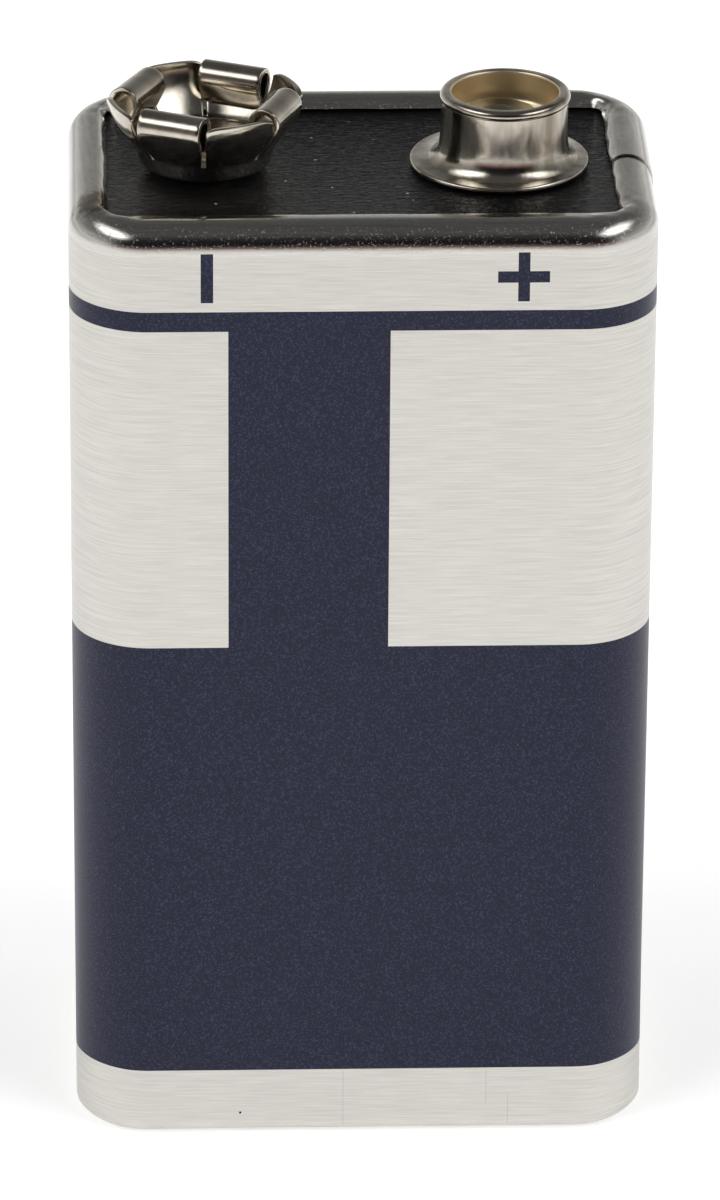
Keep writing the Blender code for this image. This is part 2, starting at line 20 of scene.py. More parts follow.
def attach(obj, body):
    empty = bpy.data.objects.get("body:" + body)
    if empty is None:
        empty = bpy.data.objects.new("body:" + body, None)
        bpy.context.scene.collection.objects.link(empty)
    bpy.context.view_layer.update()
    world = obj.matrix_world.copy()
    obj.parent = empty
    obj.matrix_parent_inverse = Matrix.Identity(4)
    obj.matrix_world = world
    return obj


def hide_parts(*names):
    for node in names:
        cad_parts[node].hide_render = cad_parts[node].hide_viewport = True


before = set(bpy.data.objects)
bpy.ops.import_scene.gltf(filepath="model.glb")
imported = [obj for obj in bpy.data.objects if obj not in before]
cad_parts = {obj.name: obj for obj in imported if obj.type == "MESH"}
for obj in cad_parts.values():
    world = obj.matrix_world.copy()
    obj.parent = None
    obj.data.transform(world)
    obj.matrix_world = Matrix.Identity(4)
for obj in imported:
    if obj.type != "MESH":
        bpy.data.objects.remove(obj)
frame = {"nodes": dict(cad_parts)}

Pair = tuple[float, float]
Triple = tuple[float, float, float]
Quad = tuple[float, float, float, float]
Inputs = dict[Any, Any] | tuple[Any, ...]

MM = 0.001
TINY = 1e-9
IMAGE_WIDTH = 720
IMAGE_HEIGHT = 1200
SHARP_ANGLE = math.radians(38.0)
BEVEL_ANGLE = math.radians(50.0)

# Millimetres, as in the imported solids: the board, what seats on it and where its terminals stand.
BOARD_TOP = 43.88
SEAT = 0.1
STUD_X = 6.085
SOCKET_X = -6.865
TERMINAL_SHEET = 0.25
RIVET_HOLE_RADIUS = 1.25

log = logging.getLogger("battery")


class Slot(Enum):
    """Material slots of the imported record."""

    TINPLATE = "printed_tinplate"
    BOARD = "black_board"
    NICKEL = "nickel_plate"
    STRIP = "nickel_strip"
    RIVET = "rivet_metal"
    CAN = "cell_can"
    FILM = "sleeve_film"
    CARD = "insulating_card"


class Petal(Enum):
    """How a petal of the snap socket ends."""

    PLAIN = "plain"
    ROLLED = "rolled"


# Small tools


def linear(colour: str) -> Quad:
    """Turns an sRGB hex colour into linear RGBA.

    Args:
        colour: The colour as "#rrggbb".

    Returns:
        Linear red, green and blue, with an alpha of 1.
    """
    shares = np.array([int(colour[i:i + 2], 16) / 255.0 for i in (1, 3, 5)])
    values = np.where(shares <= 0.04045, shares / 12.92, ((shares + 0.055) / 1.055) ** 2.4)
    return (*(float(v) for v in values), 1.0)


def fill_inputs(tree: NodeTree, node: Node, inputs: Inputs) -> None:
    """Gives each input of a node its value, or links it to the output that feeds it.

    Args:
        tree: The node tree.
        node: The node.
        inputs: Its inputs in order, or by name or number.
    """
    for name, value in inputs.items() if isinstance(inputs, dict) else enumerate(inputs):
        if isinstance(value, NodeSocket):
            tree.links.new(value, node.inputs[name])
        else:
            node.inputs[name].default_value = value


def add_node(tree: NodeTree, kind: str, inputs: Inputs = (), **settings: Any) -> NodeSocket:
    """Adds a node with its settings and links.

    Args:
        tree: The node tree that gets the node.
        kind: The node's Blender type, less its first word.
        inputs: Its inputs in order, or by name or number: each a value, or the output that feeds it.
        **settings: The node's properties.

    Returns:
        The first output that the settings leave in use; its node has the others.
    """
    node = tree.nodes.new(f"ShaderNode{kind}")
    for name, value in settings.items():
        setattr(node, name, value)
    fill_inputs(tree, node, inputs)
    return next(output for output in node.outputs if output.enabled)


def new_material(name: str) -> tuple[Material, NodeTree, Node, NodeSocket]:
    """Makes an empty Principled material.

    Args:
        name: The material's name.

    Returns:
        The material, its node tree, its shader node and the place on the piece in millimetres.
    """
    material = bpy.data.materials.new(name)
    material.use_nodes = True
    tree = material.node_tree
    place = add_node(tree, "TexCoord").node.outputs["Object"]
    millimetres = add_node(tree, "VectorMath", {0: place, "Scale": 1.0 / MM}, operation="SCALE")
    return material, tree, tree.nodes["Principled BSDF"], millimetres


def overlap(tree: NodeTree, masks: list[NodeSocket]) -> NodeSocket:
    """Multiplies masks, so that the new one is 1 only where each of them is.

    Args:
        tree: The material's node tree.
        masks: Two masks or more.

    Returns:
        The product's socket.
    """
    mask = masks[0]
    for other in masks[1:]:
        mask = add_node(tree, "Math", (mask, other), operation="MULTIPLY")
    return mask


def blend(tree: NodeTree, share: NodeSocket, first: Any, second: Any) -> NodeSocket:
    """Mixes two colours: the first where the share is 0, the second where it is 1; hex or sockets."""
    ends = [linear(colour) if isinstance(colour, str) else colour for colour in (first, second)]
    return add_node(tree, "Mix", {0: share, 6: ends[0], 7: ends[1]}, data_type="RGBA")


def grain_noise(tree: NodeTree, millimetres: NodeSocket, size: Triple,
                inputs: dict[str, float]) -> NodeSocket:
    """Adds noise whose grains have a size of their own along each axis.

    Args:
        tree: The material's node tree.
        millimetres: The place on the piece.
        size: A grain's length, width and height in millimetres.
        inputs: The noise's detail, and its other inputs where they aren't Blender's own.

    Returns:
        The noise's socket.
    """
    place = add_node(tree, "Mapping", {"Vector": millimetres, "Scale": tuple(1.0 / side for side in size)})
    return add_node(tree, "TexNoise", {"Vector": place, "Scale": 1.0, **inputs})


def relief(tree: NodeTree, height: NodeSocket, depth: float) -> NodeSocket:
    """Adds the normal of a surface that rises by a depth in millimetres where the height is 1."""
    return add_node(tree, "Bump", {"Height": height, "Distance": depth * MM, "Strength": 1.0})


def smooth_step(share: np.ndarray) -> np.ndarray:
    """Eases shares from 0 to 1: three times the square less twice the cube."""
    held = np.clip(share, 0.0, 1.0)
    return held * held * (3.0 - 2.0 * held)


def arc(centre: Pair, radii: Pair, start: float, end: float, steps: int) -> np.ndarray:
    """Points of an elliptical arc: the centre plus each radius times the angle's cosine or sine.

    Args:
        centre: The arc's centre.
        radii: Its two half-axes.
        start: The first angle in degrees.
        end: The last angle in degrees.
        steps: The number of equal steps between them.

    Returns:
        An array of steps + 1 points.
    """
    angle = np.radians(np.linspace(start, end, steps + 1))
    return np.stack([centre[0] + radii[0] * np.cos(angle), centre[1] + radii[1] * np.sin(angle)], axis=-1)


def grid_quads(rows: int, columns: int, wrap_rows: bool = False, wrap_columns: bool = False) -> np.ndarray:
    """Corner numbers of a grid's quads; they face the column direction crossed with the row direction.

    Args:
        rows: The number of rows of points.
        columns: The number of points in a row.
        wrap_rows: Joins the last row to the first.
        wrap_columns: Joins the last column to the first.

    Returns:
        An array of four point numbers for each quad, row after row.
    """
    row, column = np.meshgrid(np.arange(rows if wrap_rows else rows - 1),
                              np.arange(columns if wrap_columns else columns - 1), indexing="ij")
    next_row, next_column = (row + 1) % rows, (column + 1) % columns
    corners = [row * columns + column, row * columns + next_column,
               next_row * columns + next_column, next_row * columns + column]
    return np.stack(corners, axis=-1).reshape(-1, 4)


def surface_normals(points: np.ndarray) -> np.ndarray:
    """Unit normals of a grid of points: the change along its columns crossed with that along its rows.

    Args:
        points: The grid's points by rows and columns.

    Returns:
        A normal for each point.
    """
    along_rows, along_columns = np.gradient(points, axis=(0, 1))
    normal = np.cross(along_columns, along_rows)
    return normal / np.maximum(np.linalg.norm(normal, axis=-1, keepdims=True), TINY)


def write_piece(name: str, points: np.ndarray, faces: list[list[int]], finish: Material,
                stands_for: str | None = None) -> Object:
    """Writes points and faces to a smooth-shaded piece that rides on the battery.

    Args:
        name: The piece's name.
        points: Its points in millimetres, in the row frame.
        faces: Point numbers of each face.
        finish: Its material.
        stands_for: The CAD node that the piece replaces.

    Returns:
        The new object.
    """
    mesh = bpy.data.meshes.new(name)
    mesh.from_pydata((points.reshape(-1, 3) * MM).tolist(), [], faces)
    mesh.validate()
    mesh.shade_smooth()
    mesh.set_sharp_from_angle(angle=SHARP_ANGLE)
    mesh.materials.append(finish)
    piece = bpy.data.objects.new(name, mesh)
    bpy.context.scene.collection.objects.link(piece)
    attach(piece, "root")
    if stands_for:
        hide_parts(stands_for)
    log.info("%s: %d faces", name, len(faces))
    return piece


def add_bevel(piece: Object, width: float) -> None:
    """Rounds a piece's sharp edges.

    Args:
        piece: The piece.
        width: The width of the rounding in millimetres.
    """
    bevel = piece.modifiers.new("eased edges", "BEVEL")
    bevel.width = width * MM
    bevel.segments = 2
    bevel.limit_method = "ANGLE"
    bevel.angle_limit = BEVEL_ANGLE


# Finishes


@dataclass(frozen=True)
class PrintedTinplate:
    """Brushed tinplate, offset-printed with one dark ink: the fields show the bare, finely drawn metal."""

    metal: str = "#d7d4ce"
    ink: str = "#11142c"
    ink_light: str = "#454a66"
    metal_roughness: float = 0.34
    rim_roughness: float = 0.15
    rim_line: Pair = (42.6, 43.5)
    rim_grain: float = 0.1
    rim_grain_depth: float = 0.004
    grain_levels: Pair = (0.58, 0.72)
    ink_roughness: float = 0.36
    specular: float = 0.3
    brush_spacing: float = 0.07
    brush_length: float = 2.8
    brush_depth: float = 0.002
    brush_levels: Pair = (0.38, 0.62)
    brush_shade: float = 0.85
    speckle_size: float = 0.08
    fleck_levels: Pair = (0.5, 0.75)
    fleck_strength: float = 0.7
    # Creases and a pit on the foot of the front, drawn as painted shade.
    creases: tuple[Triple, ...] = ((-0.84, 0.3, 3.2), (5.64, 1.5, 3.2), (6.63, 0.3, 1.9))
    crease_width: float = 0.05
    crease_shade: float = 0.86
    pit_place: Triple = (-5.49, -8.45, 1.1)
    pit_radius: float = 0.07
    pit_core: float = 0.6
    stain: str = "#5f5137"
    stain_place: Triple = (-11.3, -5.1, 44.1)
    stain_radius: float = 1.5
    stain_grain: float = 0.4
    stain_levels: Pair = (0.1, 0.9)
    stain_strength: float = 0.75
    lower_field: Pair = (3.28, 24.37)
    thin_band: Pair = (39.47, 40.39)
    centre_column: Pair = (-6.0, 1.04)
    minus_bar: Quad = (-7.19, -6.65, 40.82, 43.10)
    plus_arm: Quad = (5.66, 7.91, 41.68, 42.21)
    plus_post: Quad = (6.54, 7.05, 40.80, 43.09)

    def between(self, tree: NodeTree, value: NodeSocket, low: float, high: float) -> NodeSocket:
        """Adds a mask that is 1 where a value lies between two bounds."""
        return add_node(tree, "Math", (value, (low + high) / 2, (high - low) / 2), operation="COMPARE")

    def block(self, tree: NodeTree, place: list[NodeSocket], bounds: Quad) -> NodeSocket:
        """Adds a mask that is 1 in an upright rectangle.

        Args:
            tree: The material's node tree.
            place: The three parts of the place on the piece.
            bounds: The rectangle's left and right in x and its bottom and top in z.

        Returns:
            The mask's socket.
        """
        return overlap(tree, [self.between(tree, place[0], *bounds[:2]),
                              self.between(tree, place[2], *bounds[2:])])

    def ink_mask(self, tree: NodeTree, place: list[NodeSocket], front: NodeSocket) -> NodeSocket:
        """Adds the print: 1 under ink and 0 on bare metal.

        Args:
            tree: The material's node tree.
            place: The three parts of the place on the piece.
            front: A mask of the front, which alone has the marks of the poles.

        Returns:
            The mask's socket.
        """
        column = (*self.centre_column, self.lower_field[1], self.thin_band[0])
        shapes = [self.between(tree, place[2], *self.lower_field),
                  self.between(tree, place[2], *self.thin_band), self.block(tree, place, column)]
        shapes += [overlap(tree, [self.block(tree, place, mark), front])
                   for mark in (self.minus_bar, self.plus_arm, self.plus_post)]
        mask = shapes[0]
        for shape in shapes[1:]:
            mask = add_node(tree, "Math", (mask, shape), operation="MAXIMUM")
        return mask

    def painted_crease_shade(self, tree: NodeTree, millimetres: NodeSocket, place: list[NodeSocket],
                front: NodeSocket) -> NodeSocket:
        """Adds the handling marks on the foot of the front, upright creases and one pit, drawn as painted
        shade: they only darken the metal's colour.

        Args:
            tree: The material's node tree.
            millimetres: The place on the piece.
            place: The three parts of that place.
            front: A mask of the front.

        Returns:
            The share of the bare metal's brightness that they leave.
        """
        away = add_node(tree, "VectorMath", (millimetres, self.pit_place), operation="DISTANCE")
        core = self.pit_radius * self.pit_core
        marks = add_node(tree, "MapRange", (away, core, self.pit_radius, 1.0, 0.0))
        half = self.crease_width / 2
        for middle, low, high in self.creases:
            crease = self.block(tree, place, (middle - half, middle + half, low, high))
            faint = add_node(tree, "Math", (crease, 1.0 - self.crease_shade), operation="MULTIPLY")
            marks = add_node(tree, "Math", (marks, faint), operation="MAXIMUM")
        return add_node(tree, "Math", (1.0, overlap(tree, [marks, front])), operation="SUBTRACT")

    def stained(self, tree: NodeTree, millimetres: NodeSocket) -> NodeSocket:
        """Adds the brown stain that leaked salts left on the rim's corner beside the socket.

        Args:
            tree: The material's node tree.
            millimetres: The place on the piece.

        Returns:
            The mask's socket.
        """
        ragged = grain_noise(tree, millimetres, (self.stain_grain,) * 3, {"Detail": 3.0})
        away = add_node(tree, "VectorMath", (millimetres, self.stain_place), operation="DISTANCE")
        edge = add_node(tree, "Math", (ragged, -self.stain_radius, away), operation="MULTIPLY_ADD")
        return add_node(tree, "MapRange", (edge, *self.stain_levels, self.stain_strength, 0.0),
                        interpolation_type="SMOOTHSTEP")

    def build(self) -> Material:
        """Makes the material.

        Returns:
            Tinplate whose ink is matt and dark and whose bare metal is bright, with fine level brushing.
        """
        material, tree, shader, millimetres = new_material("offset_printed_brushed_tinplate")
        place = add_node(tree, "SeparateXYZ", (millimetres,)).node.outputs
        front = add_node(tree, "Math", (place[1], 0.0), operation="LESS_THAN")
        # The brushing runs round the body in strokes a few millimetres long. Real strokes are finer than
        # a pixel, so these are drawn as coarse as it takes to show them.
        brush = grain_noise(tree, millimetres, (self.brush_length, self.brush_length, self.brush_spacing),
                            {"Detail": 4.0, "Roughness": 0.7})
        speckle = grain_noise(tree, millimetres, (self.speckle_size,) * 3, {"Detail": 2.0})
        mask = self.ink_mask(tree, place, front)
        fleck = add_node(tree, "MapRange", (speckle, *self.fleck_levels, 0.0, self.fleck_strength))
        ink = blend(tree, fleck, self.ink, self.ink_light)
        shade = add_node(tree, "MapRange", (brush, *self.brush_levels, self.brush_shade, 1.0))
        # The brushing's tone, times the painted shade of the creases and the pit.
        brush_and_painted_crease_shade = overlap(tree, [shade, self.painted_crease_shade(tree, millimetres, place, front)])
        clean = add_node(tree, "VectorMath", {0: linear(self.metal)[:3], "Scale": brush_and_painted_crease_shade},
                         operation="SCALE")
        metal = blend(tree, self.stained(tree, millimetres), clean, self.stain)
        # Bending leaves the rim smoother than the wall, with a fine grain that sparkles.
        on_rim = add_node(tree, "MapRange", (place[2], *self.rim_line, 0.0, 1.0),
                          interpolation_type="SMOOTHSTEP")
        bare = add_node(tree, "MapRange", (on_rim, 0.0, 1.0, self.metal_roughness, self.rim_roughness))
        grain = grain_noise(tree, millimetres, (self.rim_grain,) * 3, {"Detail": 3.0, "Roughness": 0.6})
        grained = add_node(tree, "MapRange", (grain, *self.grain_levels, 0.0, self.rim_grain_depth),
                           interpolation_type="SMOOTHSTEP")
        height = add_node(tree, "Math", (brush, self.brush_depth, overlap(tree, [grained, on_rim])),
                          operation="MULTIPLY_ADD")
        fill_inputs(tree, shader, {
            "Base Color": blend(tree, mask, metal, ink),
            "Metallic": add_node(tree, "Math", (1.0, mask), operation="SUBTRACT"),
            "Roughness": add_node(tree, "Mix", {0: mask, 2: bare, 3: self.ink_roughness}),
            "Normal": relief(tree, height, 1.0), "Specular IOR Level": self.specular})
        return material


@dataclass(frozen=True)
class PressedBoard:
    """Black phenolic paper board, pressed between plates: nearly flat black, satin, with a fibrous grain."""

    colour: str = "#0b0b0c"
    dust: str = "#a5a59e"
    roughness: float = 0.15
    specular: float = 0.26
    grain_width: float = 0.24
    grain_length: float = 0.5
    grain_depth: float = 0.09
    dust_spacing: float = 1.25
    dust_size: float = 0.07
    dust_core: float = 0.4

    def build(self) -> Material:
        """Makes the material.

        Returns:
            Black board with a wavy grain along the battery's length and a few specks of dust.
        """
        material, tree, shader, millimetres = new_material("pressed_black_phenolic_board")
        grain = grain_noise(tree, millimetres, (self.grain_length, self.grain_width, self.grain_width),
                            {"Detail": 3.0, "Roughness": 0.55, "Distortion": 1.2})
        specks = add_node(tree, "TexVoronoi", {"Vector": millimetres, "Scale": 1.0 / self.dust_spacing})
        core = self.dust_size * self.dust_core
        dust = add_node(tree, "MapRange", (specks, self.dust_size, core, 0.0, 1.0))
        fill_inputs(tree, shader, {
            "Base Color": blend(tree, dust, self.colour, self.dust),
            "Normal": relief(tree, grain, self.grain_depth),
            "Roughness": self.roughness, "Specular IOR Level": self.specular})
        return material


@dataclass(frozen=True)
class DrawnMetal:
    """Plated sheet, strip or wire: a metal with faint tool marks and a little tarnish in its noise, which on
    the stud also stands in for reflection bands as painted reflection.
    """

    name: str
    colour: str
    tarnish_and_painted_bands: str
    roughness: float
    mark_spacing: float = 0.35
    mark_depth: float = 0.002
    mark_levels: Pair = (0.3, 0.75)
    gloss_factors: Pair = (0.8, 1.5)
    tarnish_spread: float = 1.6
    tarnish_levels: Pair = (0.42, 0.72)
    drawn: float = 1.0
    # The bore's colour is painted light: a bright cream that lifts the bore.
    bore_painted_light: str = "#f6e6c8"
    bore_roughness: float = 0.36
    bore: Triple | None = None

    def bore_mask(self, tree: NodeTree, millimetres: NodeSocket) -> NodeSocket:
        """Adds a mask that is 1 in the bore, whose plate the drawing punch left dull and whose colour is
        painted light.

        Args:
            tree: The material's node tree.
            millimetres: The place on the piece, in millimetres.

        Returns:
            The mask's socket.
        """
        centre_x, radius, low = self.bore
        place = add_node(tree, "VectorMath", (millimetres, (centre_x, 0.0, low)), operation="SUBTRACT")
        parts = add_node(tree, "SeparateXYZ", (place,)).node.outputs
        level = add_node(tree, "CombineXYZ", (parts[0], parts[1]))
        away = add_node(tree, "VectorMath", (level,), operation="LENGTH")
        return overlap(tree, [
            add_node(tree, "Math", (away, radius), operation="LESS_THAN"),
            add_node(tree, "Math", (parts[2], 0.0), operation="GREATER_THAN")])

    def build(self) -> Material:
        """Makes the material.

        Returns:
            A metal that keeps the default IOR, with uneven colour and gloss.
        """
        material, tree, shader, millimetres = new_material(self.name)
        # Deep drawing pulls the marks out up the wall; 1 leaves them round. On the stud the tarnish drawn
        # out this way is partly painted reflection: upright darker bands.
        cloud, marks = (grain_noise(tree, millimetres, (size, size, size / self.drawn), {"Detail": detail})
                        for size, detail in ((self.tarnish_spread, 4.0), (self.mark_spacing, 3.0)))
        share = add_node(tree, "MapRange", (cloud, *self.tarnish_levels, 0.0, 1.0))
        colour = blend(tree, share, self.colour, self.tarnish_and_painted_bands)
        smooth, rough = (self.roughness * factor for factor in self.gloss_factors)
        roughness = add_node(tree, "MapRange", (marks, *self.mark_levels, smooth, rough))
        if self.bore:
            # The bore gets a duller plate, and a bright cream colour that is painted light.
            inside = self.bore_mask(tree, millimetres)
            colour = blend(tree, inside, colour, self.bore_painted_light)
            roughness = add_node(tree, "Mix", {0: inside, 2: roughness, 3: self.bore_roughness})
        fill_inputs(tree, shader, {"Base Color": colour, "Roughness": roughness, "Metallic": 1.0,
                                   "Normal": relief(tree, marks, self.mark_depth)})
        return material


@dataclass(frozen=True)
class FibrousSheet:
    """Card or film: a matt or satin sheet whose fibres or stretch marks vary its colour."""

    name: str
    colour: str
    fleck: str
    roughness: float
    fibre_width: float = 0.15
    fibre_length: float = 0.9
    fibre_depth: float = 0.01

    def build(self) -> Material:
        """Makes the material.

        Returns:
            A sheet with fibres of the given width and length.
        """
        material, tree, shader, millimetres = new_material(self.name)
        fibres = grain_noise(tree, millimetres, (self.fibre_length, self.fibre_width, self.fibre_width),
                             {"Detail": 3.0})
        fill_inputs(tree, shader, {
            "Base Color": blend(tree, fibres, self.colour, self.fleck),
            "Normal": relief(tree, fibres, self.fibre_depth), "Roughness": self.roughness})
        return material


# Pieces


@dataclass
class Jacket:
    """Printed tinplate sheet, wrapped round the cells and lapped on the +X side.

    Its top is rolled in over the terminal board and its foot is turned in under the bottom plate.
    """

    length: float = 25.8
    width: float = 16.9
    rim_height: float = 44.4
    corner_radius: float = 3.5
    sheet: float = 0.08
    lap_offset: float = 0.09
    lap_length: float = 2.1
    lap_edge_y: float = -0.2
    rim_bend: float = 1.2
    rim_reach: float = 1.2
    end_reach: float = 0.82
    opening_shift: float = -0.12
    rim_corner_radius: float = 0.6
    rim_tilt: float = 0.1
    rim_drop: float = 0.04
    tilt_zone: Pair = (3.2, 2.0)
    foot_flare: float = 0.1
    flare_height: float = 5.0
    flare_blend: float = 1.2
    lip_wave: float = 0.02
    lip_rows: float = 0.9
    lip_waves: tuple[Quad, ...] = ((1.0, 1.3, 1.0, 0.4), (0.7, 2.9, -1.0, 1.1))
    board_depth: float = 0.52
    board_gap: float = 0.05
    foot_bend: float = 0.8
    foot_land: float = 1.1
    gather_depth: float = 0.03
    gather_zone: Pair = (1.0, 1.6)
    gather_rows: float = 1.6
    gather_waves: tuple[Quad, ...] = ((1.0, 61.0, 0.22, 0.0), (0.6, 97.0, -0.35, 1.3))
    gather_levels: Pair = (0.5, 0.4)
    edge_round: float = 0.03
    corner_steps: int = 28
    side_steps: int = 60
    bend_steps: int = 18
    wall_steps: int = 6

    def lip_angle(self) -> float:
        """Angle in radians at which the roll ends, so that its cut edge stays clear of the board."""
        rise = self.rim_bend - self.board_depth + self.sheet + self.board_gap
        return math.asin(rise / self.rim_bend)

    def outline(self, half_x: float, half_y: float, radius: float) -> tuple[np.ndarray, np.ndarray]:
        """Points round a rounded rectangle, from under the lap to on top of it, with their outward ways.

        Each corner is a quarter arc of the radius, and each side a straight run of equal steps.

        Args:
            half_x: Half the rectangle's length.
            half_y: Half its width.
            radius: The corners' radius.

        Returns:
            The points and the unit outward directions, both of the same length.
        """
        inner_x, inner_y = half_x - radius, half_y - radius
        quarter = np.linspace(0.0, -90.0, self.corner_steps + 1)
        run = np.linspace(0.0, 1.0, self.side_steps + 1)[1:-1]
        lap_start = self.lap_edge_y + self.lap_length
        points, outwards = [], []
        sides = (((half_x, lap_start), (half_x, -inner_y), (inner_x, -inner_y), 0.0),
                 ((inner_x, -half_y), (-inner_x, -half_y), (-inner_x, -inner_y), -90.0),
                 ((-half_x, -inner_y), (-half_x, inner_y), (-inner_x, inner_y), -180.0),
                 ((-inner_x, half_y), (inner_x, half_y), (inner_x, inner_y), -270.0))
        for number, (start, end, centre, angle) in enumerate(sides):
            shares = np.concatenate([[0.0], run]) if number == 0 else run
            points.append(np.array(start) + shares[:, None] * (np.array(end) - np.array(start)))
            way = (math.cos(math.radians(angle)), math.sin(math.radians(angle)))
            outwards.append(np.tile(way, (len(shares), 1)))
            turn = np.radians(angle + quarter)
            outward = np.stack([np.cos(turn), np.sin(turn)], axis=-1)
            points.append(np.array(centre) + radius * outward)
            outwards.append(outward)
        last = np.linspace(inner_y, self.lap_edge_y, self.side_steps // 2 + 1)[1:]
        points.append(np.stack([np.full_like(last, half_x), last], axis=-1))
        outwards.append(np.tile((1.0, 0.0), (len(last), 1)))
        return np.concatenate(points), np.concatenate(outwards)

    def surface(self) -> np.ndarray:
        """Outer side of the sheet, as section rows from the top lip down, by stations round the body.

        A section is a quarter ellipse from the lip to the crest, shorter at the two ends than along the
        faces, a quarter circle out to the wall, the wall, a quarter circle in to the foot and a flat land.
        Its depth is the lap's under the lap and eases to nothing round the next corner.

        Returns:
            Points as an array of rows, stations and three coordinates.
        """
        lip = self.lip_angle()
        reach = self.rim_reach * math.cos(lip)
        open_x = self.length / 2 - self.rim_bend - self.end_reach * math.cos(lip)
        open_y = self.width / 2 - self.rim_bend - reach
        outer, outward = self.outline(self.length / 2, self.width / 2, self.corner_radius)
        inner = self.outline(open_x, open_y, self.rim_corner_radius)[0] + (self.opening_shift, 0.0)
        under = np.zeros(len(outer))
        first = self.side_steps
        under[:first] = 1.0
        ease = np.linspace(0.0, 1.0, self.corner_steps + 1)
        under[first:first + self.corner_steps + 1] = 1.0 - smooth_step(ease)
        depth = (self.lap_offset * under)[None, :]

        rolled = np.linspace(lip, math.pi / 2, self.bend_steps + 1)[:, None]
        bend = np.linspace(math.pi / 2, math.pi, self.bend_steps + 1)[1:, None]
        foot = np.linspace(0.0, math.pi / 2, self.bend_steps + 1)[:, None]
        centre = self.rim_height - self.rim_bend
        ones = np.ones_like(depth)
        wall = np.linspace(centre, self.foot_bend, self.wall_steps + 1)[1:-1, None]
        inset = np.concatenate([
            self.rim_bend * np.ones_like(rolled) * ones,
            self.rim_bend + (self.rim_bend - depth) * np.cos(bend),
            depth * np.ones_like(wall),
            self.foot_bend - (self.foot_bend - depth) * np.cos(foot),
            (self.foot_bend + self.foot_land) * ones])
        height = np.concatenate([
            centre + (self.rim_bend - depth) * np.sin(rolled),
            centre + (self.rim_bend - depth) * np.sin(bend),
            wall * ones,
            self.foot_bend - (self.foot_bend - depth) * np.sin(foot),
            depth])
        share = np.zeros_like(inset)
        share[:len(rolled)] = (self.rim_reach - depth) * np.cos(rolled) / reach
        level = outer[None] - inset[..., None] * outward[None]
        level = level + (inner[None] - level) * share[..., None]
        return np.concatenate([level, height[..., None]], axis=-1)

    def past_corner(self, points: np.ndarray) -> np.ndarray:
        """How far points lie past where the corner bends start, in x or y, whichever is less."""
        return np.minimum(np.abs(points[..., 0]) - (self.length / 2 - self.corner_radius),
                          np.abs(points[..., 1]) - (self.width / 2 - self.corner_radius))

    def worn(self, points: np.ndarray) -> np.ndarray:
        """Gives the sheet the small faults of a real one: a tilted rim, flared foot corners and a wavy lip.

        The tilt is linear in y, eases in below the rim and fades again to the lip, which stays clear of
        the board. The flare eases out above the foot and only fills the corners: it stops at the body's
        faces. The lip's edge waves in two sines, each with a share, a rate, the sign of y and a phase.

        Args:
            points: The outer side's points.

        Returns:
            The points, moved by a tenth or two of a millimetre and still within the body's length and width.
        """
        x, y, z = points[..., 0], points[..., 1], points[..., 2]
        row = np.arange(points.shape[0])[:, None]
        lip = smooth_step(1.0 - row / (self.lip_rows * self.bend_steps))
        near_rim = smooth_step((z - self.rim_height + self.tilt_zone[0]) / self.tilt_zone[1])
        raised = near_rim * (1.0 - lip) * (self.rim_tilt * y / (self.width / 2) - self.rim_drop)
        wave = self.lip_wave * lip * sum(share * np.sin(rate * (x + sign * y) + phase)
                                         for share, rate, sign, phase in self.lip_waves)
        flare = (self.foot_flare * smooth_step(1.0 - z / self.flare_height)
                 * smooth_step(self.past_corner(points) / self.flare_blend))
        across = np.stack([x, y], axis=-1)
        way = across / np.maximum(np.linalg.norm(across, axis=-1, keepdims=True), TINY)
        half = np.array((self.length / 2, self.width / 2))
        level = np.clip(across + way * (flare + wave)[..., None], -half, half)
        return np.concatenate([level, (z + raised)[..., None]], axis=-1)

    def gathers(self, points: np.ndarray) -> np.ndarray:
        """Presses the gathers that rolling leaves in the rim's corners: sine waves that fade away from them.

        Each wave has a share, a rate round the body, a rate along the rows and a phase.

        Args:
            points: The outer side's points.

        Returns:
            The points, moved in along their normals.
        """
        row = np.arange(points.shape[0])[:, None]
        on_rim = smooth_step((self.gather_rows * self.bend_steps - row) / self.bend_steps)
        near = smooth_step((self.past_corner(points) + self.gather_zone[0]) / self.gather_zone[1])
        turn = np.arctan2(points[..., 1], points[..., 0])
        wave = sum(share * np.sin(around * turn + along * row + phase)
                   for share, around, along, phase in self.gather_waves)
        middle, swing = self.gather_levels
        push = self.gather_depth * on_rim * near * np.clip(middle + swing * wave, 0.0, 1.0)
        return points - surface_normals(points) * push[..., None]

    def build(self, finish: Material) -> Object:
        """Makes the sheet: its outer side, its inner side a sheet's thickness behind, and its cut edges.

        Args:
            finish: The printed tinplate.

        Returns:
            The jacket's object.
        """
        outer = self.gathers(self.worn(self.surface()))
        inner = outer - surface_normals(outer) * self.sheet
        rows, columns = outer.shape[:2]
        count = rows * columns
        number = np.arange(count).reshape(rows, columns)
        border = np.concatenate([number[0, :-1], number[:-1, -1], number[-1, :0:-1], number[:0:-1, 0]])
        after = np.roll(border, -1)
        edge = np.stack([after, border, border + count, after + count], axis=-1)
        quads = grid_quads(rows, columns)
        faces = np.concatenate([quads, quads[:, ::-1] + count, edge]).tolist()
        points = np.concatenate([outer.reshape(-1, 3), inner.reshape(-1, 3)])
        piece = write_piece("printed_jacket", points, faces, finish, "jacket")
        add_bevel(piece, self.edge_round)
        return piece


def revolved(line: np.ndarray, turn: np.ndarray) -> np.ndarray:
    """Turns a line about the vertical: its radius times each angle's cosine and sine, its height kept."""
    return np.stack([line[:, :1] * np.cos(turn), line[:, :1] * np.sin(turn),
                     np.broadcast_to(line[:, 1:], (len(line), len(turn)))], axis=-1)


